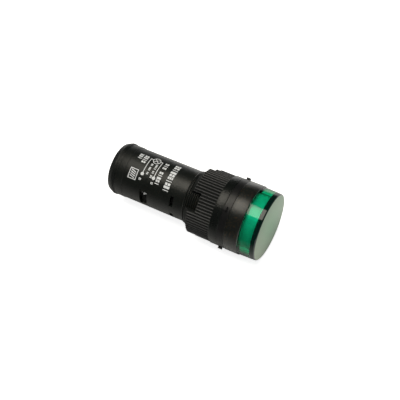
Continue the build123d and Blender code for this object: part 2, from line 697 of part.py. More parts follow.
NODES = {
    "housing": housing(),
    "lens_cap": lens_cap(),
    "diffuser_cup": diffuser_cup(),
    "sealing_gasket": sealing_gasket(),
    "ring_nut": ring_nut(),
    "terminal_block": terminal_block(),
    "upper_terminal": terminal(),
    "lower_terminal": lower(terminal()),
    "upper_clamp": clamp(),
    "lower_clamp": lower(clamp()),
    "upper_screw": screw(),
    "lower_screw": lower(screw()),
    "driver_board": driver_board(),
    "series_resistors": series_resistors(),
    "smoothing_capacitor": smoothing_capacitor(),
    "bridge_rectifier": bridge_rectifier(),
    "protection_diode": protection_diode(),
    "shunt_resistor": shunt_resistor(),
    "led_board": led_board(),
    "led_chips": led_chips(),
    "board_pins": board_pins(),
}

os.makedirs("parts", exist_ok=True)
for name, piece in NODES.items():
    solids = level(piece)
    shape = solids[0] if len(solids) == 1 else Compound(children=solids)
    export_step(shape, f"parts/{name}.step")
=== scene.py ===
# %% [markdown]
# Panel pilot light, dressed for its portrait.
# A pilot light is the small lamp on a machine's control panel that says "power is on". This one is a
# black plastic barrel with a thread, a ribbed ring nut, a rubber gasket and a clear green lens.
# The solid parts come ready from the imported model, in metres, with the lens looking towards -Y. The
# lesson adds what a solid lacks: thread turns, print, moulding texture, light and a camera.

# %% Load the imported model
import json
import math

import bmesh
import bpy
from mathutils import Matrix, Vector

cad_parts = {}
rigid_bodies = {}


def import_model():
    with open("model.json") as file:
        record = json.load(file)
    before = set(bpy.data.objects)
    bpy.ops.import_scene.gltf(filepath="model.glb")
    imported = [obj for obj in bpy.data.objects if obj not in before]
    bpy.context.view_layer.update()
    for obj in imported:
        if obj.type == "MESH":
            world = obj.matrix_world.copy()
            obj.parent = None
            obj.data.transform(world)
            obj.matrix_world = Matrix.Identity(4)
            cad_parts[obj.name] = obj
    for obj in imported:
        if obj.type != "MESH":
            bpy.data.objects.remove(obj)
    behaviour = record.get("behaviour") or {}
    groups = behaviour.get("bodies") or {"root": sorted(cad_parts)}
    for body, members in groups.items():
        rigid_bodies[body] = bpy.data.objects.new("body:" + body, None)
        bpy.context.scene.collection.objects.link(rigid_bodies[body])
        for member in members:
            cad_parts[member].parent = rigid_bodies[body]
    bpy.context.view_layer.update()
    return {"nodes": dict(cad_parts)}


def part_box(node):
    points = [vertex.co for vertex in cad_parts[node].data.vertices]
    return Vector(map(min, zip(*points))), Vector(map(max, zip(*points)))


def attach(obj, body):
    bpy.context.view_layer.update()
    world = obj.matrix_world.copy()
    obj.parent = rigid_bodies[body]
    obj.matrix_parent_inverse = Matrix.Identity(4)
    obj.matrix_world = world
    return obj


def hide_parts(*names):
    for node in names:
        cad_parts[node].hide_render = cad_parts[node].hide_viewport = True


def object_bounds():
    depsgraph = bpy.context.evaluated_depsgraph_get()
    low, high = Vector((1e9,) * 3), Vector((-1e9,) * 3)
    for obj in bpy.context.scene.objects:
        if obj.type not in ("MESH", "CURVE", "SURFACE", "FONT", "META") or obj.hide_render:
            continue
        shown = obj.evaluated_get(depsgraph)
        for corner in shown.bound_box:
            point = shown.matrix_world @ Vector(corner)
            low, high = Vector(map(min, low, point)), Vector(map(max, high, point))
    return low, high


for leftover in list(bpy.data.objects):
    bpy.data.objects.remove(leftover)
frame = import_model()

# %% [markdown]
# Everything round shares one axis, so places are easiest to say as a radius, an angle and a station.
# The angle is counted from the top of the panel, and the station is the distance out of the panel, as
# a fitter would measure it. One small function turns those three into Blender's X, Y and Z.

# %% Places round the lamp's axis
MM = 0.001


def place(radius, degrees, station):
    """A point round the axis, from sizes in millimetres and an angle from the top."""
    angle = math.radians(degrees)
    return Vector((-radius * math.sin(angle), -station, radius * math.cos(angle))) * MM


def new_object(name, data):
    """A new object in the scene."""
    made = bpy.data.objects.new(name, data)
    bpy.context.scene.collection.objects.link(made)
    return made


def highest(node):
    """A node's highest corner in millimetres."""
    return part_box(node)[1] / MM


def lowest(node):
    """A node's lowest corner in millimetres."""
    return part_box(node)[0] / MM


HEAD_R = highest("housing").x
HEAD_FRONT = -lowest("housing").y
BARREL_END = -highest("housing").y
LENS_FRONT = -lowest("lens_cap").y
GASKET_FRONT = -lowest("sealing_gasket").y
print(f"head radius {HEAD_R:.2f} mm, lens front at {LENS_FRONT:.2f} mm, barrel end at {BARREL_END:.2f} mm")

# %% [markdown]
# The camera stands where the photographer stood. The ellipses of the round edges give the angle between
# the lamp's axis and the line of sight, and how that angle changes along the lamp gives the distance.
# The lamp slants across the picture, so the camera is rolled until the axis has the same slant.

# %% Camera
PICTURE_PX = 400
FOCAL_PX = 800.0
SCALE_PX_PER_MM = 3.516
AXIS_TO_SIGHT = math.radians(71.75)
TOWARDS_CAMERA = math.radians(36.9)
AXIS_SLANT = math.radians(22.3)
AXIS_MIDDLE_STATION = -10.43
AXIS_OFFSET_PX = -0.75
SENSOR_MM = 36.0


def camera_axes():
    """Right, up and back of the camera, from the angles of the lamp in the picture."""
    sine = math.sin(AXIS_TO_SIGHT)
    across = Vector((-math.sin(TOWARDS_CAMERA), 0, math.cos(TOWARDS_CAMERA)))
    back = Vector((0, -math.cos(AXIS_TO_SIGHT), 0)) + across * sine
    along = Vector((0, -1, 0))
    along = (along - back * along.dot(back)).normalized()
    side = along.cross(back)
    right = along * math.cos(AXIS_SLANT) - side * math.sin(AXIS_SLANT)
    up = -along * math.sin(AXIS_SLANT) - side * math.cos(AXIS_SLANT)
    return right, up, back, side


def make_camera():
    """A camera aimed at the middle of the lamp, at the photographer's distance."""
    right, up, back, side = camera_axes()
    aim = place(0, 0, AXIS_MIDDLE_STATION) - side * (AXIS_OFFSET_PX / SCALE_PX_PER_MM * MM)
    spot = aim + back * (FOCAL_PX / SCALE_PX_PER_MM * MM)
    data = bpy.data.cameras.new("camera")
    data.sensor_width = SENSOR_MM
    data.lens = SENSOR_MM * FOCAL_PX / PICTURE_PX
    data.clip_start = 0.01
    camera = new_object("camera", data)
    camera.matrix_world = Matrix((right, up, back)).transposed().to_4x4()
    camera.location = spot
    bpy.context.scene.camera = camera
    return camera


camera = make_camera()
print("camera stands", round(camera.location.length / MM), "mm away")

# %% [markdown]
# Small helpers keep the node trees readable. A material here is a Principled shader with its own fixed
# numbers, and anything that changes over the surface is wired in from a few named nodes.

# %% Helpers for materials
def feed(tree, value, socket):
    """Wires a socket in, or sets a plain number or colour."""
    if isinstance(value, bpy.types.NodeSocket):
        tree.links.new(value, socket)
    elif value is not None:
        socket.default_value = value


def wire(tree, shader, **values):
    """Feeds a shader's sockets by their names."""
    for name, value in values.items():
        feed(tree, value, shader.inputs[name.replace("_", " ")])


def new_material(name, **values):
    """A Principled material with its own numbers. Returns the material, its tree and its shader."""
    material = bpy.data.materials.new(name)
    material.use_nodes = True
    tree = material.node_tree
    shader = tree.nodes["Principled BSDF"]
    wire(tree, shader, **values)
    return material, tree, shader


def node(tree, kind, **values):
    """A new node with some of its properties set."""
    made = tree.nodes.new("ShaderNode" + kind)
    for key, value in values.items():
        setattr(made, key, value)
    return made


def noise(tree, vector, scale, detail=2.0, roughness=0.5):
    """Soft cloudy noise, as a value from 0 to 1."""
    made = node(tree, "TexNoise")
    wire(tree, made, Vector=vector, Scale=scale, Detail=detail, Roughness=roughness)
    return made.outputs["Fac"]


def spread(tree, value, low, high, to_low=0.0, to_high=1.0):
    """Stretches a value from one range to another, and holds it inside."""
    made = node(tree, "MapRange")
    wire(tree, made, Value=value, From_Min=low, From_Max=high, To_Min=to_low, To_Max=to_high)
    return made.outputs["Result"]


def maths(tree, operation, first, second=None, kind="Math"):
    """One sum on numbers."""
    made = node(tree, kind, operation=operation)
    feed(tree, first, made.inputs[0])
    feed(tree, second, made.inputs[1])
    return made.outputs[0]


def product(tree, *values):
    """All of the values multiplied together."""
    total = values[0]
    for value in values[1:]:
        total = maths(tree, "MULTIPLY", total, value)
    return total


def mix_value(tree, factor, first, second, kind="FLOAT", sockets=(0, 2, 3), result=0):
    """One number fading into another."""
    made = node(tree, "Mix", data_type=kind)
    for index, value in zip(sockets, (factor, first, second)):
        feed(tree, value, made.inputs[index])
    return made.outputs[result]


def mix_colour(tree, factor, first, second):
    """One colour fading into another."""
    return mix_value(tree, factor, first, second, "RGBA", (0, 6, 7), 2)


def bumped(tree, shader, height, distance, strength=0.3, normal=None):
    """Gives a shader a fine relief. Its distance is in millimetres."""
    made = node(tree, "Bump")
    wire(tree, made, Height=height, Distance=distance * MM, Strength=strength, Normal=normal)
    wire(tree, shader, Normal=made.outputs[0])


def object_place(tree):
    """The surface point in the lamp's own frame, in metres."""
    return node(tree, "TexCoord").outputs["Object"]


def parts_of(tree, vector):
    """A vector's X, Y and Z."""
    split = node(tree, "SeparateXYZ")
    tree.links.new(vector, split.inputs[0])
    return split.outputs


def coordinate(tree, axis):
    """One of the surface point's own coordinates, in millimetres."""
    return maths(tree, "MULTIPLY", parts_of(tree, object_place(tree))[axis], 1 / MM)


def vector_value(tree, operation, first, second=None):
    """One sum on vectors that gives a number, such as a length."""
    return maths(tree, operation, first, second, "VectorMath").node.outputs["Value"]


def from_axis(tree):
    """The surface point's distance from the lamp's axis, in millimetres."""
    flat = maths(tree, "MULTIPLY", object_place(tree), (1 / MM, 0, 1 / MM), "VectorMath")
    return vector_value(tree, "LENGTH", flat)


def between(tree, value, low, high):
    """1 where a value lies between two limits, and 0 elsewhere."""
    above = maths(tree, "GREATER_THAN", value, low)
    below = maths(tree, "LESS_THAN", value, high)
    return product(tree, above, below)


def grey(level):
    """A neutral colour."""
    return (level, level, level, 1.0)


print("helpers ready")

# %% [markdown]
# A product photo on white paper is lit by a big soft source. A round bar mirrors a whole fan of
# directions, so what it reflects matters more than what falls on it. A warm panel over the lens end draws
# the long soft highlight. Its sides run along the lamp's axis, so the highlight has straight sides too.
# A second panel only softens the shadows. Mirrored rays meet a dark room, and paper that is set darker
# towards the near side and stays white on the far side and ahead of the lens: that draws the pale rims at
# the top and adds to the lens's pale face. The paper shows white when it is looked at, but it still darkens
# under the lamp, so the contact shadow stays.

# %% Paper, world and lamps
FLOOR_SIDE = 3.0
FLOOR_GAP = 0.00002
PAPER = (0.86, 0.86, 0.85, 1.0)
PAPER_BESIDE = (0.6, 0.6, 0.59, 1.0)
PAPER_NEAR = grey(0.02)
PAPER_BEHIND_LENS = grey(0.25)
PAPER_GLOW = 0.8
PAPER_GLOW_MIRRORED = 0.4
PAPER_GLOW_BEHIND = 0.14
AHEAD_FROM_Y = (-0.010, -0.013)
BESIDE_FROM_X = (-0.045, -0.012)
FAR_FROM_X = (-0.002, 0.01)
FAR_FADE_Y = (0, 0.03, 0.3, 1)
SKY_COLOUR = (0.98, 0.99, 1.0, 1.0)
SKY_DIFFUSE = 0.24
SKY_DARK, SKY_HORIZON = 0.03, 0.95
SKY_THROUGH = (0.0, 0.8, 0.16, 0.88)
HORIZON_Z = (-0.01, 0.16, 1, 0)
HORIZON_X = (0.0, 0.2)
HORIZON_Y = (0.45, 0.7, 1, 0)
HORIZON_FADE_Y = (0.18, 0.36, 0.45, 1.0)


def paper_material():
    """White paper with its own tones for mirrored rays and for rays through the lens."""
    material, tree, shader = new_material("white_paper", Roughness=0.9)
    rays = node(tree, "LightPath").outputs
    here = parts_of(tree, object_place(tree))
    beyond = product(tree, spread(tree, here["X"], *FAR_FROM_X), spread(tree, here["Y"], *FAR_FADE_Y))
    far = maths(tree, "MAXIMUM", beyond, spread(tree, here["Y"], *AHEAD_FROM_Y))
    # For mirrored rays the paper is set darker towards the near side.
    near = mix_colour(tree, spread(tree, here["X"], *BESIDE_FROM_X), PAPER_NEAR, PAPER_BESIDE)
    tone = mix_colour(tree, rays["Is Glossy Ray"], PAPER, mix_colour(tree, far, near, PAPER))
    behind = product(tree, rays["Is Transmission Ray"], far)
    wire(tree, shader, Base_Color=mix_colour(tree, behind, tone, PAPER_BEHIND_LENS))
    level = product(tree, rays["Is Glossy Ray"], far, PAPER_GLOW_MIRRORED)
    level = maths(tree, "ADD", level, product(tree, behind, PAPER_GLOW_BEHIND))
    level = maths(tree, "ADD", level, product(tree, rays["Is Camera Ray"], PAPER_GLOW))
    glow = node(tree, "Emission")
    wire(tree, glow, Strength=level)
    both = node(tree, "AddShader")
    feed(tree, shader.outputs[0], both.inputs[0])
    feed(tree, glow.outputs[0], both.inputs[1])
    wire(tree, tree.nodes["Material Output"], Surface=both.outputs[0])
    return material


def make_floor():
    """A sheet of white paper just under the lamp's lowest point."""
    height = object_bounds()[0].z - FLOOR_GAP
    half = FLOOR_SIDE / 2
    corners = [(x * half, y * half, height) for x, y in ((-1, -1), (1, -1), (1, 1), (-1, 1))]
    mesh = bpy.data.meshes.new("paper")
    mesh.from_pydata(corners, [], [(0, 1, 2, 3)])
    mesh.materials.append(paper_material())
    new_object("paper", mesh)


def make_world():
    """White when it is looked at, dim for diffuse light, dark in reflections but for the far horizon."""
    world = bpy.data.worlds.new("studio")
    world.use_nodes = True
    tree = world.node_tree
    rays = node(tree, "LightPath").outputs
    way = parts_of(tree, node(tree, "TexCoord").outputs["Generated"])
    fades = (("Z", HORIZON_Z), ("X", HORIZON_X), ("Y", HORIZON_Y), ("Y", HORIZON_FADE_Y))
    horizon = product(tree, *(spread(tree, way[axis], *limits) for axis, limits in fades))
    mirrored = spread(tree, horizon, 0, 1, SKY_DARK, SKY_HORIZON)
    level = mix_value(tree, rays["Is Glossy Ray"], SKY_DIFFUSE, mirrored)
    level = mix_value(tree, rays["Is Transmission Ray"], level, spread(tree, way["Z"], *SKY_THROUGH))
    level = mix_value(tree, rays["Is Camera Ray"], level, 1.0)
    wire(tree, tree.nodes["Background"], Strength=level, Color=SKY_COLOUR)
    bpy.context.scene.world = world


PANEL_DISTANCE = 0.6


def make_panel(name, degrees, towards_rear, width, length, power, colour):
    """A soft light panel that faces the lamp, placed by its angle from the top and its lean."""
    back = place(1.0, degrees, -towards_rear).normalized()
    along = (Vector((0, 1, 0)) - back * back.y).normalized()
    data = bpy.data.lights.new(name, "AREA")
    data.shape = "RECTANGLE"
    data.size, data.size_y = width, length
    data.energy, data.color = power, colour
    lamp = new_object(name, data)
    lamp.matrix_world = Matrix((along.cross(back), along, back)).transposed().to_4x4()
    lamp.location = back * PANEL_DISTANCE
    return lamp


make_floor()
make_world()
key = make_panel("key_panel", 7.0, 0.32, 0.38, 0.36, 1.28, (1.0, 0.945, 0.82))
soft = make_panel("soft_panel", 15.0, 0.1, 0.4, 0.4, 1.3, (1.0, 1.0, 1.0))
soft.visible_glossy = False
print("lights:", key.name, soft.name)

# %% [markdown]
# Moulded plastic is never mirror smooth. The steel tool is spark eroded, which prints a fine even grain on
# the part, and handling polishes some patches. Both belong in one node group, because the barrel, the nut
# and the terminal block all come out of such tools, each with its own depth and scale.

# %% Node group: moulded grain
def group_sockets(tree, inputs, outputs):
    """Gives a node group its named sockets: floats in, floats out."""
    for name, value in inputs.items():
        socket = tree.interface.new_socket(name, in_out="INPUT", socket_type="NodeSocketFloat")
        socket.default_value = value
    for name in outputs:
        tree.interface.new_socket(name, in_out="OUTPUT", socket_type="NodeSocketFloat")
    return tree.nodes.new("NodeGroupInput"), tree.nodes.new("NodeGroupOutput")


def make_moulded_grain():
    """Grain height and polish patches of a spark-eroded mould."""
    tree = bpy.data.node_groups.new("moulded_grain", "ShaderNodeTree")
    entry, leave = group_sockets(tree, {"Grain Scale": 3200.0, "Patch Scale": 180.0}, ["Height", "Patches"])
    here = object_place(tree)
    patches = noise(tree, here, entry.outputs["Patch Scale"], 4.0)
    height = noise(tree, here, entry.outputs["Grain Scale"], 3.0)
    wire(tree, leave, Height=height, Patches=spread(tree, patches, 0.3, 0.7))
    return tree


moulded_grain = make_moulded_grain()
print("group:", moulded_grain.name)

# %% [markdown]
# No moulded edge is truly sharp: the tool has a small radius, and hands rub it pale. The Bevel node rounds
# the normal within a set distance of an edge, so comparing it with the true normal marks the edges. The
# same node also gives the shader a rounded normal, which catches a thin line of light on every rib.

# %% Node group: rubbed edges
RUBBED_RADIUS = 0.00009


def make_rubbed_edges():
    """A mask that is 1 on edges and 0 on flat stretches, broken up a little."""
    tree = bpy.data.node_groups.new("rubbed_edges", "ShaderNodeTree")
    entry, leave = group_sockets(tree, {"Sharpness": 6.0}, ["Edge"])
    rounded = node(tree, "Bevel", samples=4)
    wire(tree, rounded, Radius=RUBBED_RADIUS)
    plain = node(tree, "NewGeometry").outputs["Normal"]
    same = vector_value(tree, "DOT_PRODUCT", rounded.outputs[0], plain)
    broken = spread(tree, noise(tree, object_place(tree), 900.0, 3.0), 0.3, 0.6, 0.3, 1.0)
    edge = product(tree, maths(tree, "SUBTRACT", 1.0, same), entry.outputs["Sharpness"], broken)
    wire(tree, leave, Edge=maths(tree, "MINIMUM", edge, 1.0))
    return tree


rubbed_edges = make_rubbed_edges()
print("group:", rubbed_edges.name)

# %% [markdown]
# The black plastic is polyamide with carbon black: nearly black, and satin. Real black plastic is never
# zero black, so its base colour sits a little above. The polished patches change the roughness and, a
# little, the tone. Each piece then gets its own finish: the head is glossier than the barrel's tail and has
# warm specks painted on as a warm highlight, the crests of the nut's ribs are rubbed and also painted paler
# as a highlight, and the latches stay dull and are painted nearly black as the shade in their windows.

# %% Material: black plastic
LATCH_FROM_R = 6.6
LATCH_BEYOND_Y = -BARREL_END - 1.0
# Painted shade: the latches' colour is set nearly black for the shade in their windows.
LATCH_SHADE_TONE, LATCH_ROUGH = 0.001, 0.85
NUT_RIB_R = 9.95
NUT_CREST_R = (NUT_RIB_R - 0.2, NUT_RIB_R - 0.03)
NUT_RIBBED_Y = (2.66, 9.9)
# Painted highlight and rubbing: the paler tone of the ribs' crests.
NUT_CREST_WEAR_AND_HIGHLIGHT = 0.045
NUT_GROOVE_ROUGH = 0.75
POLISHED_Y = (-4.0, 33.0)
HEAD_COAT = (-3.0, -1.0, 0.6, 0.0)
# Painted highlight: warm specks on the head that fade towards the tail.
WARM_HIGHLIGHT_DOTS = (0.034, 0.022, 0.010, 1.0)
WARM_HIGHLIGHT_FADE = (-2.0, 16.0, 1.0, 0.2)
ROUNDED_RADIUS = 0.00008


def olive(level):
    """A black with the slightest green in it."""
    return (level * 0.9, level * 1.2, level, 1.0)


def dull_latches_painted_shade(tree, colour, rough):
    """The latches stand out past the block's body, unpolished, and are painted nearly black as the shade in
    their windows.
    """
    ahead = maths(tree, "LESS_THAN", coordinate(tree, "Y"), LATCH_BEYOND_Y)
    latch = product(tree, maths(tree, "GREATER_THAN", from_axis(tree), LATCH_FROM_R), ahead)
    return mix_colour(tree, latch, colour, grey(LATCH_SHADE_TONE)), mix_value(tree, latch, rough, LATCH_ROUGH)


def worn_ribs_painted_highlight(tree, colour, rough):
    """Fingers rub the crests of the ribs, which are also painted paler as a highlight. The grooves and the
    sloped tail stay dull.
    """
    along = coordinate(tree, "Y")
    ribbed = between(tree, along, *NUT_RIBBED_Y)
    crest = spread(tree, from_axis(tree), *NUT_CREST_R)
    groove = product(tree, ribbed, maths(tree, "SUBTRACT", 1.0, crest))
    dull = maths(tree, "MAXIMUM", groove, maths(tree, "GREATER_THAN", along, NUT_RIBBED_Y[1]))
    colour = mix_colour(tree, product(tree, ribbed, crest), colour, grey(NUT_CREST_WEAR_AND_HIGHLIGHT))
    return colour, mix_value(tree, dull, rough, NUT_GROOVE_ROUGH)


def black_plastic(name, tone, rough_low, rough_high, grain_depth, edge_tone, wear_and_painted_light=None, polished=0.0):
    """Satin black moulding with grain, patches of polish and rubbed edges.

    A rule may paint rubbing, highlight and shade into the colour and change the roughness, and the head end
    can be more polished than the tail, with warm specks painted on as a warm highlight.
    """
    material, tree, shader = new_material(name, IOR=1.5, Specular_IOR_Level=0.5, Coat_Roughness=0.38)
    grain = node(tree, "Group", node_tree=moulded_grain).outputs
    edges = node(tree, "Group", node_tree=rubbed_edges).outputs
    rough = spread(tree, grain["Patches"], 0, 1, rough_low, rough_high)
    body = mix_colour(tree, grain["Patches"], olive(tone), olive(tone * 1.25))
    colour = mix_colour(tree, edges["Edge"], body, grey(edge_tone))
    if polished:
        along = coordinate(tree, "Y")
        rough = maths(tree, "SUBTRACT", rough, spread(tree, along, *POLISHED_Y, polished, -polished))
        # Painted highlight: warm specks mixed into the head's colour.
        dots = spread(tree, noise(tree, object_place(tree), 2200.0, 2.0, 0.7), 0.55, 0.64)
        dots = product(tree, dots, spread(tree, along, *WARM_HIGHLIGHT_FADE))
        colour = mix_colour(tree, dots, colour, WARM_HIGHLIGHT_DOTS)
        wire(tree, shader, Coat_Weight=spread(tree, along, *HEAD_COAT))
    if wear_and_painted_light:
        colour, rough = wear_and_painted_light(tree, colour, rough)
    wire(tree, shader, Base_Color=colour, Roughness=rough)
    rounded = node(tree, "Bevel", samples=6)
    wire(tree, rounded, Radius=ROUNDED_RADIUS)
    bumped(tree, shader, grain["Height"], grain_depth, 1.0, rounded.outputs[0])
    return material


housing_black = black_plastic("housing_black", 0.006, 0.29, 0.37, 0.06, 0.03, None, 0.10)
nut_black = black_plastic("nut_black", 0.005, 0.24, 0.32, 0.05, 0.05, worn_ribs_painted_highlight)
block_black = black_plastic("block_black", 0.005, 0.38, 0.48, 0.06, 0.03, dull_latches_painted_shade)
print("plastics:", housing_black.name, nut_black.name, block_black.name)

# %% [markdown]
# The gasket is soft black rubber. Rubber scatters light more than plastic does, and its pressed surface
# carries a bloom of fine dust, so it is a touch greyer and rougher.

# %% Material: rubber
gasket_rubber, tree, shader = new_material("gasket_rubber", IOR=1.5)
bloom = noise(tree, object_place(tree), 700.0, 5.0, 0.6)
tone = mix_colour(tree, bloom, grey(0.006), grey(0.010))
wire(tree, shader, Base_Color=tone, Roughness=spread(tree, bloom, 0.2, 0.8, 0.3, 0.42))
bumped(tree, shader, noise(tree, object_place(tree), 4000.0), 0.02)
print("rubber:", gasket_rubber.name)

# %% [markdown]
# The lens is clear green polycarbonate. Its colour is inside the plastic, so light that crosses the thin
# band and returns from the white cup is bright green, which volume absorption gives from one number. The
# front plate is thick, and its edge is painted nearly black as the shade seen edgeways into it. Its face is
# frosted with faint rings and greener in the middle; its pale grey-green is partly a painted reflection of
# the white surroundings, and it is painted paler towards its lower side as a reflection of the paper ahead.

# %% Material: green lens
LENS_TINT = (0.0, 0.915, 0.8, 1.0)
LENS_DENSITY = 1500.0
LENS_RING_PITCH, LENS_RING_TONE = 0.7, 0.06
# Painted reflection in part: the face's pale frost colours stand in for the white surroundings it mirrors.
FROST_AND_REFLECTION, FROST_HAZE = (0.15, 0.31, 0.14, 1.0), (0.17, 0.34, 0.15, 1.0)
FACE_LEVELS = (LENS_FRONT - 0.05, LENS_FRONT - 0.01)
FROST_MIDDLE, MIDDLE_FADE = (0.15, 0.41, 0.165, 1.0), (2.0, 9.5, 1.0, 0.0)
# Painted reflection: the face is paler towards its lower side, for the paper ahead.
LOWER_PAINTED_REFLECTION, LOWER_REFLECTION_FADE = (0.42, 0.50, 0.33, 1.0), (0.0, 9.5, 0.0, 0.8)
LOWER_REFLECTION_WAY = (-0.8 / MM, 0, -0.6 / MM)
# Painted shade: the plate's edge, seen edgeways, is set nearly black.
PLATE_EDGE_SHADE = (0.001, 0.012, 0.009, 1.0)


def green_lens():
    """Clear polycarbonate, coloured through its whole thickness."""
    material, tree, shader = new_material(
        "green_polycarbonate", Base_Color=(0.95, 1.0, 0.97, 1.0), Metallic=0.0, Roughness=0.02, IOR=1.58,
        Transmission_Weight=1.0, Specular_IOR_Level=0.42)
    inside = node(tree, "VolumeAbsorption")
    wire(tree, inside, Color=LENS_TINT, Density=LENS_DENSITY)
    wire(tree, tree.nodes["Material Output"], Volume=inside.outputs[0])
    return material


def lens_front():
    """The frosted front face, whose pale colour is partly a painted reflection, and its plate's edge
    painted dark as shade.
    """
    material, tree, shader = new_material("green_front_frost_and_painted_light", IOR=1.58)
    face = spread(tree, product(tree, coordinate(tree, "Y"), -1.0), *FACE_LEVELS)
    frost = mix_colour(tree, noise(tree, object_place(tree), 260.0, 3.0), FROST_AND_REFLECTION, FROST_HAZE)
    away = from_axis(tree)
    rings = maths(tree, "SINE", product(tree, away, 2 * math.pi / LENS_RING_PITCH))
    rings = spread(tree, rings, -1, 1, -LENS_RING_TONE, LENS_RING_TONE)
    glow = maths(tree, "ADD", spread(tree, away, *MIDDLE_FADE), rings)
    frost = mix_colour(tree, glow, frost, FROST_MIDDLE)
    # Painted reflection: paler towards the face's lower side.
    lower = vector_value(tree, "DOT_PRODUCT", object_place(tree), LOWER_REFLECTION_WAY)
    frost = mix_colour(tree, spread(tree, lower, *LOWER_REFLECTION_FADE), frost, LOWER_PAINTED_REFLECTION)
    rough = spread(tree, face, 0, 1, 0.06, 0.3)
    wire(tree, shader, Base_Color=mix_colour(tree, face, PLATE_EDGE_SHADE, frost), Roughness=rough)
    return material


green_polycarbonate = green_lens()
green_front_frost_and_painted_light = lens_front()
print("lens:", green_polycarbonate.name, green_front_frost_and_painted_light.name)

# %% [markdown]
# The cup behind the lens is milky polystyrene that spreads the light of the chips. Subsurface scattering
# could show that, but the cup is only seen through the tinted lens, so a plain matt white is enough.

# %% Material: milky diffuser
milky_polystyrene, tree, shader = new_material("milky_polystyrene", IOR=1.5, Roughness=0.45)
cloud = noise(tree, object_place(tree), 400.0, 3.0)
wire(tree, shader, Base_Color=mix_colour(tree, cloud, grey(0.73), grey(0.81)))
print("diffuser:", milky_polystyrene.name)

# %% [markdown]
# The metal, boards and components inside are seen from behind and when the lamp is opened. One recipe
# serves most of them: two close tones that drift over the surface, and a roughness that drifts with them.

# %% Materials: a recipe of drifting tones
TIN = (0.74, 0.74, 0.72)


def drifting(name, first, second, scale, rough, stretch=(1.0, 1.0, 1.0), depth=0.0, **values):
    """A material whose tone and roughness drift together. Returns it with its tree and a brush."""
    material, tree, shader = new_material(name, **values)
    lay = node(tree, "Mapping")
    wire(tree, lay, Vector=object_place(tree), Scale=stretch)
    drift = spread(tree, noise(tree, lay.outputs[0], scale, 4.0, 0.6), 0.3, 0.7)
    tone = mix_colour(tree, drift, (*first, 1.0), (*second, 1.0))
    wire(tree, shader, Base_Color=tone, Roughness=spread(tree, drift, 0, 1, *rough))
    if depth:
        bumped(tree, shader, noise(tree, lay.outputs[0], scale * 4), depth)

    def brush(mask, colour, metallic=None):
        """Paints one colour over the tone where a mask is 1."""
        nonlocal tone
        tone = mix_colour(tree, mask, tone, (*colour, 1.0))
        wire(tree, shader, Base_Color=tone, Metallic=metallic)

    return material, tree, brush


print("recipe ready")

# %% [markdown]
# Brass terminals are stamped from rolled sheet, so their grain runs one way. Clamps and screws are zinc
# plated steel, a bright blue-white with duller clouds. The pins are tinned.

# %% Materials: metals
METALS = (
    ("brass_sheet", (0.78, 0.55, 0.24), (0.66, 0.45, 0.19), 900.0, (0.22, 0.36), (1.0, 0.15, 1.0), 0.004),
    ("zinc_plate", (0.74, 0.75, 0.76), (0.6, 0.61, 0.6), 1100.0, (0.24, 0.42), (1.0, 1.0, 1.0), 0.004),
    ("tin_plate", (0.78, 0.78, 0.76), (0.66, 0.66, 0.65), 1500.0, (0.28, 0.4), (1.0, 0.2, 1.0), 0.003),
)
brass_sheet, zinc_plate, tin_plate = (drifting(*look, Metallic=1.0)[0] for look in METALS)
print("metals:", brass_sheet.name, zinc_plate.name, tin_plate.name)

# %% [markdown]
# Circuit boards show their copper as paler lines under the solder mask. A brick pattern with thin joints is
# close to such a grid of tracks, and it needs no picture.

# %% Materials: boards
TRACK_ROW, TRACK_WIDTH = 1.1, 0.16


def laminate(name, mask_tone, mask_shade, track_tone, track_length, tilt):
    """Glass laminate under solder mask, with tracks showing through."""
    material, tree, brush = drifting(name, mask_tone, mask_shade, 300.0, (0.25, 0.4), depth=0.004)
    lay = node(tree, "Mapping")
    wire(tree, lay, Vector=object_place(tree), Rotation=(math.radians(tilt), 0, 0))
    tracks = node(tree, "TexBrick")
    wire(tree, tracks, Vector=lay.outputs[0], Scale=1.0, Brick_Width=track_length * MM,
         Row_Height=TRACK_ROW * MM, Mortar_Size=TRACK_WIDTH * MM, Mortar_Smooth=0.2)
    brush(tracks.outputs["Fac"], track_tone)
    return material


green_board = laminate("green_board", (0.02, 0.16, 0.07), (0.015, 0.12, 0.05), (0.05, 0.26, 0.1), 5.0, 0)
white_board = laminate("white_board", (0.8, 0.81, 0.78), (0.74, 0.75, 0.72), (0.88, 0.86, 0.8), 2.4, 90)
print("boards:", green_board.name, white_board.name)

# %% [markdown]
# The resistors wear a pale blue coat with colour rings, which stand for their value. The rings lie across
# the body, so they follow one coordinate along the lamp. Past the ends of the body the leads are tinned.

# %% Material: resistor coat
RESISTOR_MIDDLE = (lowest("series_resistors").y + highest("series_resistors").y) / 2
RESISTOR_HALF = 3.15
RING_HALF = 0.3
RINGS = (
    (-2.3, (0.3, 0.12, 0.04)), (-1.2, (0.01, 0.01, 0.01)),
    (-0.2, (0.5, 0.1, 0.02)), (1.9, (0.45, 0.3, 0.08)),
)
blue_coat, tree, brush = drifting(
    "resistor_coat", (0.16, 0.42, 0.6), (0.12, 0.34, 0.5), 500.0, (0.2, 0.32))
along = maths(tree, "SUBTRACT", coordinate(tree, "Y"), RESISTOR_MIDDLE)
for middle, colour in RINGS:
    brush(between(tree, along, middle - RING_HALF, middle + RING_HALF), colour)
leads = maths(tree, "GREATER_THAN", maths(tree, "ABSOLUTE", along), RESISTOR_HALF)
brush(leads, TIN, leads)
print("resistor:", blue_coat.name)

# %% [markdown]
# An electrolytic capacitor wears a shrunk sleeve with a pale stripe on the side of its negative lead, and
# the leads behind the can are tinned. The moulded parts under the board are black epoxy with tinned tabs,
# and a diode has a pale band at one end.

# %% Materials: capacitor sleeve and epoxy
CAN_REAR = -10.5
CAN_AXIS_Z = 3.05
STRIPE_X = (-2.2, -1.3)


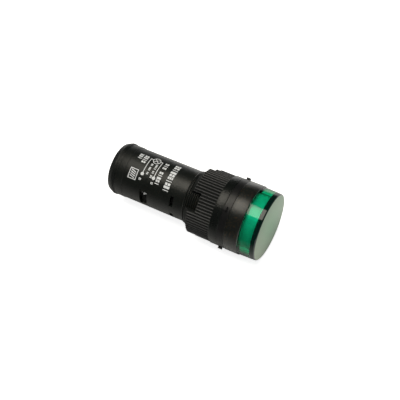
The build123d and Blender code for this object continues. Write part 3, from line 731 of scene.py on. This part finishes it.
def epoxy(name, tab_from, band=None):
    """Moulded black epoxy with tinned tabs beyond a given half width."""
    material, tree, brush = drifting(
        name, (0.018, 0.018, 0.019), (0.028, 0.028, 0.028), 900.0, (0.45, 0.6), depth=0.008)
    if band:
        brush(between(tree, coordinate(tree, "Y"), *band), (0.5, 0.5, 0.5))
    tabs = maths(tree, "GREATER_THAN", maths(tree, "ABSOLUTE", coordinate(tree, "X")), tab_from)
    brush(tabs, TIN, tabs)
    return material


dark_sleeve, tree, brush = drifting(
    "capacitor_sleeve", (0.02, 0.03, 0.09), (0.03, 0.04, 0.12), 400.0, (0.2, 0.32))
above = maths(tree, "GREATER_THAN", coordinate(tree, "Z"), CAN_AXIS_Z)
brush(product(tree, between(tree, coordinate(tree, "X"), *STRIPE_X), above), (0.55, 0.57, 0.6))
leads = maths(tree, "GREATER_THAN", coordinate(tree, "Y"), -CAN_REAR - 0.02)
brush(leads, TIN, leads)
bridge_epoxy = epoxy("bridge_epoxy", 1.95)
diode_epoxy = epoxy("diode_epoxy", 1.72, (7.4, 7.9))
shunt_epoxy = epoxy("shunt_epoxy", 0.7)
print("components:", dark_sleeve.name, bridge_epoxy.name, diode_epoxy.name, shunt_epoxy.name)

# %% [markdown]
# Each LED is a cream package with a round well of yellow phosphor. The well's floor lies lower than the
# package's top, so a band of heights picks it out.

# %% Material: chip package
CHIP_TOP = -lowest("led_chips").y
PHOSPHOR_AT = (CHIP_TOP - 0.34, CHIP_TOP - 0.26)
cream_package, tree, brush = drifting(
    "chip_package", (0.82, 0.8, 0.68), (0.76, 0.74, 0.62), 800.0, (0.35, 0.5))
height = product(tree, coordinate(tree, "Y"), -1.0)
brush(between(tree, height, *PHOSPHOR_AT), (0.8, 0.62, 0.08))
print("chips:", cream_package.name)

# %% [markdown]
# Turned and moulded round parts are rings of corners joined by faces. Each row of the ring has a radius and
# a station, and the rows run down the outside and back up the inside, so the shell closes on itself. A cut
# leaves out the faces of some rows and columns and walls up the opening, which makes windows and notches
# without any boolean. A rule can change the radius from place to place, for thread turns and ribs.

# %% Builder of turned shells
TINY = 1e-6
SHARP_DEGREES = 28.0


def arc_rows(radius, station, size, start, stop, steps=4):
    """Rows round a rounded edge: its centre, its size, and two angles counted from straight outwards."""
    rows = []
    for step in range(steps + 1):
        turn = math.radians(start + (stop - start) * step / steps)
        rows.append((radius + size * math.cos(turn), station + size * math.sin(turn)))
    return rows


def turned_shell(name, rows, angles, rule=None, cuts=(), capped=False):
    """A round part from its rows and angles. A cut is (outer rows, inner rows or None, columns)."""
    count = len(angles)
    corners = [
        place(rule(radius, degrees, station) if rule else radius, degrees, station)
        for radius, station in rows for degrees in angles
    ]

    def at(row, column):
        return row % len(rows) * count + column % count

    def quad(low, high, column):
        return [at(low, column), at(high, column), at(high, column + 1), at(low, column + 1)]

    gone, faces = set(), []
    for outer, inner, columns in cuts:
        spans = [outer, inner] if inner else [outer]
        gone.update((row, column) for low, high in spans for row in range(low, high) for column in columns)
        near, far = outer[0], spans[-1][1]
        for column in columns:
            faces.append([at(near, column), at(near, column + 1), at(far, column + 1), at(far, column)])
            if inner:
                faces.append(quad(outer[1], inner[0], column))
        for column in (columns[0], columns[-1] + 1):
            faces.append([at(row, column) for low, high in spans for row in range(low, high + 1)])
    for row in range(len(rows) - capped):
        for column in range(count):
            if (row, column) not in gone:
                faces.append(quad(row, row + 1, column))
    if capped:
        for row in (0, len(rows) - 1):
            faces.append([at(row, column) for column in range(count)])
    return mesh_piece(name, corners, faces)


def mesh_piece(name, corners, faces):
    """A mesh object with its faces turned outwards, smooth but for its real edges."""
    mesh = bpy.data.meshes.new(name)
    mesh.from_pydata(corners, [], faces)
    work = bmesh.new()
    work.from_mesh(mesh)
    bmesh.ops.recalc_face_normals(work, faces=work.faces)
    work.to_mesh(mesh)
    work.free()
    mesh.shade_smooth()
    mesh.set_sharp_from_angle(angle=math.radians(SHARP_DEGREES))
    return new_object(name, mesh)


def row_at(rows, station, last=False):
    """The first or last row that stands at a station."""
    found = [index for index, row in enumerate(rows) if abs(row[1] - station) < TINY]
    return found[-1] if last else found[0]


def finish_piece(piece, material, body, slot, *nodes):
    """Gives a new piece its material and its body, and hides the nodes it stands for. Its slot is not used.
    """
    piece.data.materials.append(material)
    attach(piece, body)
    if nodes:
        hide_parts(*nodes)
    return piece


print("builder ready")

# %% [markdown]
# The ring nut runs on the housing's thread. A thread is a ridge that climbs one pitch for each turn, so its
# height depends on the station and the angle together. The ridge here has a rounded crest and root, as
# moulded threads have, and it fades into the barrel behind its last turn.

# %% The thread's ridge
THREAD_PITCH = 0.6
THREAD_TOP_R = 7.9
THREAD_ROOT_R = 7.62
BARREL_R = 7.6
THREAD_REAR = -12.6
THREAD_FADE = 0.5
THREAD_LINES_PER_TURN = 8


def thread_radius(degrees, station):
    """Radius of the thread's ridge at an angle and a station."""
    phase = (station / THREAD_PITCH - degrees / 360.0) % 1.0
    height = 0.5 - 0.5 * math.cos(2 * math.pi * phase)
    height = height * height * (3 - 2 * height)
    ridge = THREAD_ROOT_R + (THREAD_TOP_R - THREAD_ROOT_R) * height
    rear = min(1.0, max(0.0, (station - THREAD_REAR) / THREAD_FADE))
    front = min(1.0, max(0.0, -station / THREAD_FADE))
    ridge = BARREL_R + (ridge - BARREL_R) * rear
    return THREAD_TOP_R + (ridge - THREAD_TOP_R) * front


print("thread:", THREAD_PITCH, "mm a turn,", round(-THREAD_REAR / THREAD_PITCH, 1), "turns")

# %% [markdown]
# The housing is one moulding: a head like a shallow dish, and a long barrel with four windows on each flank
# where the terminal block's latches and studs snap in. The windows' edges fall on the half degrees, so the
# columns stand there too, and every window is exactly as wide as in the solid part.

# %% The housing's shell
BORE_R = 6.5
CAVITY_R = 8.9
CAVITY_FLOOR = 3.0
HEAD_EDGE = 0.2
TAIL_BAND_R = 7.7
TAIL_BAND_FRONT = BARREL_END + 2.3
TAIL_BAND_STEP, TAIL_EDGE = 0.06, 0.1
BEAD_LOW, BEAD_HIGH, BEAD_DEPTH = 4.8, 5.4, 0.17
LATCH_WINDOW = (-23.7, -26.1)
STUD_WINDOW = (-15.35, -16.45)
WINDOWS = (
    (LATCH_WINDOW, -19.5, 19.5),
    (STUD_WINDOW, 10.5, 35.5),
    (STUD_WINDOW, -35.5, -10.5),
)


def make_housing():
    """Head and threaded barrel in one shell, with its windows."""
    lines = round(-THREAD_REAR / THREAD_PITCH * THREAD_LINES_PER_TURN)
    rows = [(CAVITY_R, HEAD_FRONT)]
    rows += arc_rows(HEAD_R - HEAD_EDGE, HEAD_FRONT - HEAD_EDGE, HEAD_EDGE, 90, 0)
    rows += arc_rows(HEAD_R - HEAD_EDGE, GASKET_FRONT + HEAD_EDGE, HEAD_EDGE, 0, -90)
    rows += [(THREAD_TOP_R, GASKET_FRONT)]
    rows += [(THREAD_TOP_R, THREAD_REAR * line / lines) for line in range(lines + 1)]
    rows += [(BARREL_R, station) for station in (*STUD_WINDOW, *LATCH_WINDOW)]
    rows += [(BARREL_R, TAIL_BAND_FRONT), (TAIL_BAND_R, TAIL_BAND_FRONT - TAIL_BAND_STEP)]
    rows += arc_rows(TAIL_BAND_R - TAIL_EDGE, BARREL_END + TAIL_EDGE, TAIL_EDGE, 0, -90, 3)
    inner = len(rows)
    rows += [(BORE_R, BARREL_END)]
    rows += [(BORE_R, station) for station in (*LATCH_WINDOW[::-1], *STUD_WINDOW[::-1])]
    rows += [(BORE_R, CAVITY_FLOOR), (CAVITY_R, CAVITY_FLOOR)]
    rows += [(CAVITY_R, BEAD_LOW), (CAVITY_R + BEAD_DEPTH, BEAD_LOW)]
    rows += [(CAVITY_R + BEAD_DEPTH, BEAD_HIGH), (CAVITY_R, BEAD_HIGH)]
    cuts = []
    for side in (90, 270):
        for (front, rear), low, high in WINDOWS:
            outer = (row_at(rows[:inner], front), row_at(rows[:inner], rear))
            behind = (row_at(rows, rear, True), row_at(rows, front, True))
            cuts.append((outer, behind, range(round(side + low - 0.5), round(side + high - 0.5))))
    angles = [column + 0.5 for column in range(360)]

    def rule(radius, degrees, station):
        threaded = radius == THREAD_TOP_R and station <= 0
        return thread_radius(degrees, station) if threaded else radius

    return turned_shell("housing_shell", rows, angles, rule, cuts)


housing_shell = finish_piece(make_housing(), housing_black, "lamp", "black_plastic", "housing")
print("housing:", len(housing_shell.data.polygons), "faces")

# %% [markdown]
# The ring nut has a smooth collar in front, seventy ribs to grip, and four notches in its sloped tail for a
# tubular key. The notches go right through to the bore, so the barrel's thread shows in them. Columns
# follow the ribs, and extra ones stand exactly at the notches' sides.

# %% The ring nut
NUT_COLLAR_R = 10.1
NUT_COLLAR_REAR = -2.65
NUT_FRONT_EDGE, NUT_EDGE = 0.2, 0.1
NUT_RIB_DEPTH = 0.42
NUT_RIB_MIDDLE, NUT_RIB_REAR = -5.5, -10.0
NUT_RIBS = 70
NUT_TAIL_R = 9.3
NUT_REAR = -highest("ring_nut").y
NUT_REAR_R = 8.2
NUT_BORE_R = 7.95
NOTCH_FRONT = -7.45
NOTCH_HALF_DEGREES = 17.0
COLUMNS_PER_RIB = 16


def rib_radius(degrees):
    """Radius of the ribbed surface: rounded crests and narrower rounded roots."""
    phase = ((degrees + 90.0) * NUT_RIBS / 360.0 + 0.5) % 1.0
    away = abs(phase - 0.5) * 2
    return NUT_RIB_R - NUT_RIB_DEPTH * (0.5 - 0.5 * math.cos(math.pi * away)) ** 1.2


def make_nut():
    """Ring nut with collar, ribs, notched tail and plain bore."""
    rows = [(NUT_BORE_R + 0.15, 0.0)]
    rows += arc_rows(NUT_COLLAR_R - NUT_FRONT_EDGE, -NUT_FRONT_EDGE, NUT_FRONT_EDGE, 90, 0)
    rows += arc_rows(NUT_COLLAR_R - NUT_EDGE, NUT_COLLAR_REAR + NUT_EDGE, NUT_EDGE, 0, -90, 3)
    rows += [(NUT_RIB_R, NUT_COLLAR_REAR - 0.001), (NUT_RIB_R, NUT_RIB_MIDDLE), (NUT_RIB_R, NOTCH_FRONT)]
    rows += [(NUT_RIB_R, NUT_RIB_REAR + 0.12), (NUT_TAIL_R + 0.1, NUT_RIB_REAR)]
    rows += [(NUT_TAIL_R, NUT_RIB_REAR - 0.001), (NUT_REAR_R + 0.08, NUT_REAR + 0.06)]
    rows += [(NUT_REAR_R, NUT_REAR), (NUT_BORE_R + 0.1, NUT_REAR)]
    rows += [(NUT_BORE_R, NUT_REAR + 0.1), (NUT_BORE_R, NOTCH_FRONT), (NUT_BORE_R, -0.15)]
    step = 360.0 / NUT_RIBS / COLUMNS_PER_RIB
    middles = [45.0 + 90.0 * quarter for quarter in range(4)]
    edges = {middle + side for middle in middles for side in (-NOTCH_HALF_DEGREES, NOTCH_HALF_DEGREES)}
    angles = {round(step * index, 6) for index in range(NUT_RIBS * COLUMNS_PER_RIB)}
    crowded = {angle for angle in angles if min(abs(angle - edge) for edge in edges) <= step * 0.3}
    angles = sorted(angles - crowded | edges)
    span = (row_at(rows, NOTCH_FRONT), row_at(rows, NOTCH_FRONT, True))
    cuts = []
    for middle in middles:
        low, high = middle - NOTCH_HALF_DEGREES - TINY, middle + NOTCH_HALF_DEGREES - TINY
        cuts.append((span, None, [index for index, angle in enumerate(angles) if low < angle < high]))

    def rule(radius, degrees, station):
        return rib_radius(degrees) if radius == NUT_RIB_R else radius

    return turned_shell("nut_body", rows, angles, rule, cuts)


nut_body = finish_piece(make_nut(), nut_black, "nut", "black_plastic", "ring_nut")
print("nut:", len(nut_body.data.polygons), "faces")

# %% [markdown]
# The lens cap is a clear cup with a thick flat face, whose edge is rounded so that it doesn't chip. Glass
# shows every facet, so its rings have twice as many columns as it seems to need.

# %% The lens cap
LENS_R = highest("lens_cap").x
LENS_FACE_R = 9.85
LENS_MIDDLE_R = 3.0
LENS_INNER = 10.15
LENS_BORE_R = 8.0
LENS_EDGE = 0.4
SPIGOT_R = 8.85
SPIGOT_REAR = -highest("lens_cap").y
BEAD_R = 8.97
LENS_PLATE_REAR = 9.9
LENS_PLATE_R = LENS_R + (LENS_FACE_R - LENS_R) * (LENS_PLATE_REAR - HEAD_FRONT) / (LENS_FRONT - HEAD_FRONT)


def make_lens():
    """Clear cap: spigot with its bead, band, rounded face edge, flat face."""
    rows = [(LENS_MIDDLE_R, LENS_INNER), (LENS_BORE_R - 0.1, LENS_INNER), (LENS_BORE_R, LENS_INNER - 0.1)]
    rows += [(LENS_BORE_R, SPIGOT_REAR), (SPIGOT_R, SPIGOT_REAR)]
    rows += [(SPIGOT_R, BEAD_LOW + 0.05), (BEAD_R, BEAD_LOW + 0.05)]
    rows += [(BEAD_R, BEAD_HIGH - 0.05), (SPIGOT_R, BEAD_HIGH - 0.05), (SPIGOT_R, HEAD_FRONT)]
    rows += [(LENS_R - 0.06, HEAD_FRONT), (LENS_R, HEAD_FRONT + 0.06), (LENS_PLATE_R, LENS_PLATE_REAR)]
    rows += arc_rows(LENS_FACE_R - LENS_EDGE, LENS_FRONT - LENS_EDGE, LENS_EDGE, 2, 90, 6)
    rows += [(LENS_MIDDLE_R, LENS_FRONT)]
    return turned_shell("lens_body", rows, [0.75 * column for column in range(480)], capped=True)


lens_body = finish_piece(make_lens(), green_polycarbonate, "lamp", "green_lens", "lens_cap")
lens_body.data.materials.append(green_front_frost_and_painted_light)
for face in lens_body.data.polygons:
    foremost = max(-lens_body.data.vertices[corner].co.y for corner in face.vertices) / MM
    if -face.center.y / MM > LENS_PLATE_REAR + 0.01 and foremost > LENS_INNER + 0.001:
        face.material_index = 1
print("lens:", len(lens_body.data.polygons), "faces")

# %% [markdown]
# Lamps like this carry pad printing on the barrel. Here it is a plain wiring diagram, two wires with end
# dots and the standard lamp sign, and rows of plain bars where a real one carries its texts. Pad print is a
# film of white ink some hundredths of a millimetre thick, so each mark is a thin curved tile on the barrel.

# %% Print on the barrel
INK_LOW, INK_HIGH = 7.595, 7.62
INK_STEP = 0.25
STROKE = 0.22
MARK_SHARE = 0.78
BAR_GAP = 0.45
RING_STEPS = 16


def ink_corner(arc, station, high):
    """A corner of a mark, from its distance round the barrel, its station and its side of the film."""
    return place(INK_HIGH if high else INK_LOW, math.degrees(arc / BARREL_R), station)


def ink_grid(points, store, corner=ink_corner):
    """Adds one closed tile from a grid of points. A rule turns each point into its two corners."""
    corners, faces = store
    base, high, wide = len(corners), len(points), len(points[0])
    for side in (True, False):
        corners += [corner(*point, side) for line in points for point in line]
    under = high * wide

    def at(row, column, low):
        return base + row * wide + column + (under if low else 0)

    for row in range(high - 1):
        for column in range(wide - 1):
            ring = [(row, column), (row + 1, column), (row + 1, column + 1), (row, column + 1)]
            faces.append([at(*spot, False) for spot in ring])
            faces.append([at(*spot, True) for spot in reversed(ring)])
    rim = [(0, column) for column in range(wide)] + [(row, wide - 1) for row in range(1, high)]
    rim += [(high - 1, column) for column in range(wide - 2, -1, -1)]
    rim += [(row, 0) for row in range(high - 2, 0, -1)]
    for first, second in zip(rim, rim[1:] + rim[:1]):
        faces.append([at(*first, False), at(*second, False), at(*second, True), at(*first, True)])


def ink_bar(start, end, width, store):
    """A straight bar of ink between two (arc, station) points."""
    reach, rise = end[0] - start[0], end[1] - start[1]
    length = math.hypot(reach, rise)
    aside, up = -rise / length * width / 2, reach / length * width / 2
    steps = max(1, math.ceil(length / INK_STEP))
    points = []
    for step in range(steps + 1):
        arc, station = start[0] + reach * (step / steps), start[1] + rise * (step / steps)
        points.append([(arc - aside, station - up), (arc + aside, station + up)])
    ink_grid(points, store)


def ink_ring(middle, outer, inner, store):
    """A ring of ink in two halves, or a dot where the inner radius is near nothing."""
    for half in (0, 1):
        points = []
        for step in range(RING_STEPS + 1):
            turn = math.pi * (half + step / RING_STEPS)
            way = (math.cos(turn), math.sin(turn))
            points.append([(middle[0] + r * way[0], middle[1] + r * way[1]) for r in (outer, inner)])
        ink_grid(points, store)


def arc_at(degrees):
    """Distance round the barrel at an angle."""
    return math.radians(degrees) * BARREL_R


def ink_box(low, high, station, height, store):
    """The outline of a small box of ink, from one angle to another."""
    first, last, half = arc_at(low), arc_at(high), (height - STROKE) / 2
    for side in (-half, half):
        ink_bar((first, station + side), (last, station + side), STROKE, store)
    for arc in (first + STROKE / 2, last - STROKE / 2):
        ink_bar((arc, station - half + STROKE / 2), (arc, station + half - STROKE / 2), STROKE, store)


def ink_row(station, height, low, high, pattern, store):
    """A row of plain marks: | is a stroke, = and e are two or three bars, # is a block, . is a gap."""
    step = (high - low) / len(pattern)
    for index, kind in enumerate(pattern):
        start = low + step * index
        stop = start + step * MARK_SHARE
        if kind == "|":
            arc = arc_at(start + (stop - start) / 2)
            ink_bar((arc, station - height / 2), (arc, station + height / 2), STROKE, store)
        count = {"#": 1, "=": 2, "e": 3}.get(kind, 0)
        for bar in range(count):
            middle = station + height * ((bar + 0.5) / count - 0.5)
            width = height / (count + BAR_GAP * (count - 1))
            ink_bar((arc_at(start), middle), (arc_at(stop), middle), width, store)


print("ink ready")

# %% [markdown]
# The diagram's two wires run round the barrel from the sign down to their dots. The rows beside it are
# plain bars, strokes and blocks in uneven order, so that from a step away they look like small print. The
# white dab is a small white mark on the nose of one latch, so its corners are found with rays on the
# block's own surface.

# %% The printed diagram
WIRES = ((-26.75, -9.2, 33.0), (-23.07, -9.9, 33.4))
SIGN = (-7.8, -24.85)
SIGN_R = 1.2
WIRE_WIDTH, CROSS_WIDTH = 0.2, 0.18
DOT_R, DOT_INNER_R = 0.5, 0.02
ROWS = (
    (-21.6, 1.25, -11.6, 45.5, "=|e.=|#=|"),
    (-18.45, 1.75, -18.0, 52.0, "e=|#=e|=#|"),
    (-25.42, 0.6, 3.7, 31.5, "#|.=#|.|="),
    (-24.0, 0.6, 2.0, 36.0, "=#||.=|.#="),
    (-26.9, 0.75, 42.8, 48.0, "|="),
    (-23.06, 0.75, 42.2, 47.4, "|="),
    (-29.9, 1.2, -12.0, 5.0, "e=|"),
    (-28.2, 1.4, -12.0, 11.0, "=e|="),
)
FRAMED_MARK = (28.0, 52.0, -29.4, 2.6)
STROKES_AT = (0.24, 0.42, 0.6, 0.78)
STROKE_LEAN, STROKE_RISE, STROKE_WIDTH = 0.25, 0.3, 0.26
DAB = (74.2, -24.9, 1.2, 1.7)
DAB_TURNS, DAB_STEPS = (-0.5, -0.17, 0.17, 0.5), (-0.5, 0.0, 0.5)
DAB_LIFT, DAB_DEPTH = 0.03, 0.02
LATCH_R = 7.0
OUTSIDE_R = 12.0


def latch_corner(degrees, station, high):
    """A corner of the white dab, just above or below the latch's own surface."""
    block = frame["nodes"]["terminal_block"]
    inverse = block.matrix_world.inverted()
    start = place(OUTSIDE_R, degrees, station)
    inwards = inverse.to_3x3() @ (place(0.0, 0.0, station) - start)
    found, point, _, _ = block.ray_cast(inverse @ start, inwards)
    radius = math.hypot(point.x, point.z) / MM if found else LATCH_R
    return place(radius + (DAB_LIFT if high else -DAB_DEPTH), degrees, station)


def dab(store):
    """A small white mark that lies on the nose of one latch, wherever its surface is."""
    degrees, station, wide, long = DAB
    turns = [degrees + math.degrees(turn * wide / LATCH_R) for turn in DAB_TURNS]
    ink_grid([[(turn, station + step * long) for step in DAB_STEPS] for turn in turns], store, latch_corner)


def make_print():
    """All the marks on the barrel as one piece."""
    store = ([], [])
    middle, level = arc_at(SIGN[0]), SIGN[1]
    for station, top, foot in WIRES:
        toward = 1 if station < level else -1
        side, dot = arc_at(top) + WIRE_WIDTH / 2, arc_at(foot)
        ink_bar((arc_at(top), station), (dot - DOT_R * 0.8, station), WIRE_WIDTH, store)
        ink_ring((dot, station), DOT_R, DOT_INNER_R, store)
        corner, sign = station + toward * WIRE_WIDTH / 2, level - toward * (SIGN_R - 0.03)
        ink_bar((side, corner), (side, sign), WIRE_WIDTH, store)
    ink_ring((middle, level), SIGN_R, SIGN_R - WIRE_WIDTH, store)
    reach = (SIGN_R - WIRE_WIDTH) * math.sqrt(0.5)
    for rise in (-reach, reach):
        ink_bar((middle - reach, level - rise), (middle + reach, level + rise), CROSS_WIDTH, store)
    for row in ROWS:
        ink_row(*row, store)
    low, high, station, height = FRAMED_MARK
    ink_box(low, high, station, height, store)
    rise = height * STROKE_RISE
    for share in STROKES_AT:
        arc = arc_at(low + (high - low) * share)
        ends = (arc - STROKE_LEAN, station - rise), (arc + STROKE_LEAN, station + rise)
        ink_bar(*ends, STROKE_WIDTH, store)
    dab(store)
    return mesh_piece("barrel_print", *store)


white_ink = drifting("white_ink", (0.86, 0.87, 0.86), (0.72, 0.73, 0.72), 900.0, (0.45, 0.6))[0]
barrel_print = finish_piece(make_print(), white_ink, "lamp", "white_laminate")
print("print:", len(barrel_print.data.polygons), "faces")

# %% [markdown]
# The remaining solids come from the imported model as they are, because their shapes are already right. One
# table gives each its finish. The replaced solids are in it too, so that no node is left bare.

# %% Dress the frame's parts
FINISHES = {
    "terminal_block": block_black,
    "sealing_gasket": gasket_rubber,
    "diffuser_cup": milky_polystyrene,
    "upper_terminal": brass_sheet, "lower_terminal": brass_sheet,
    "upper_clamp": zinc_plate, "lower_clamp": zinc_plate,
    "upper_screw": zinc_plate, "lower_screw": zinc_plate,
    "driver_board": green_board, "led_board": white_board,
    "series_resistors": blue_coat, "smoothing_capacitor": dark_sleeve,
    "bridge_rectifier": bridge_epoxy, "protection_diode": diode_epoxy, "shunt_resistor": shunt_epoxy,
    "led_chips": cream_package, "board_pins": tin_plate,
    "housing": housing_black, "ring_nut": nut_black, "lens_cap": green_polycarbonate,
}
for name, material in FINISHES.items():
    part = frame["nodes"][name]
    part.data.materials.clear()
    part.data.materials.append(material)
print("dressed", len(FINISHES), "nodes")

# %% [markdown]
# The Standard view shows the colours as they are set, as a catalogue photo does.

# %% Colour management
bpy.context.scene.view_settings.view_transform = "Standard"
